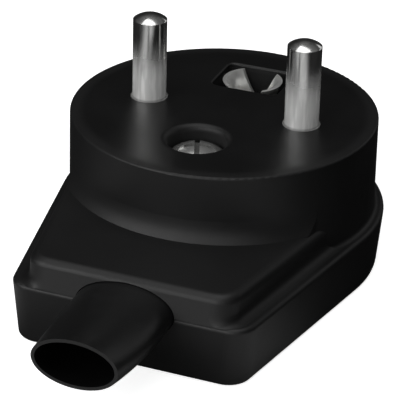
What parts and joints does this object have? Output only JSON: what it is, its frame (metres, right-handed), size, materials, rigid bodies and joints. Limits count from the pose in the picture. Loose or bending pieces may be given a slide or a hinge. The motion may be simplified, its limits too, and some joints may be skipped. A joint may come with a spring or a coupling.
{
  "type": "grounded plug",
  "caption": "Angled black mains plug with round contact pins, a sprung earth socket, a screw in its round face and an oval cord outlet at one side.",
  "frame": {"origin": "on the axis of the round face, on the flat back the plug rests on", "axes": "+Z along the contact pins, +X towards the right pin, +Y towards the earth socket, so the cord outlet points to -Y"},
  "size_m": [0.0386, 0.0616, 0.0288],
  "materials": {
    "casing": "fine satin moulding",
    "sleeve_rubber": "smooth, slightly glossy",
    "plated_pins": "nickel plated, lightly drawn",
    "steel_screws": "zinc plated",
    "earth_metal": "tinned sheet",
    "spring_steel": "plain wire",
    "insert_brass": "turned",
    "insulator": "plain moulding"
  },
  "bodies": {
    "root": {"front_body": "casing", "rear_cover": "casing", "cord_sleeve": "sleeve_rubber", "left_pin": "plated_pins", "right_pin": "plated_pins", "left_terminal_screw": "steel_screws", "right_terminal_screw": "steel_screws", "pin_retainer": "insulator", "retainer_screw": "steel_screws", "earth_socket": "earth_metal", "earth_spring": "spring_steel", "earth_strap": "earth_metal", "earth_rivet": "earth_metal", "earth_clamp_washer": "steel_screws", "earth_terminal_screw": "steel_screws", "assembly_screw": "steel_screws", "assembly_insert": "insert_brass", "cord_grip_bar": "insulator", "left_grip_screw": "steel_screws", "right_grip_screw": "steel_screws"}
  },
  "joints": []
}
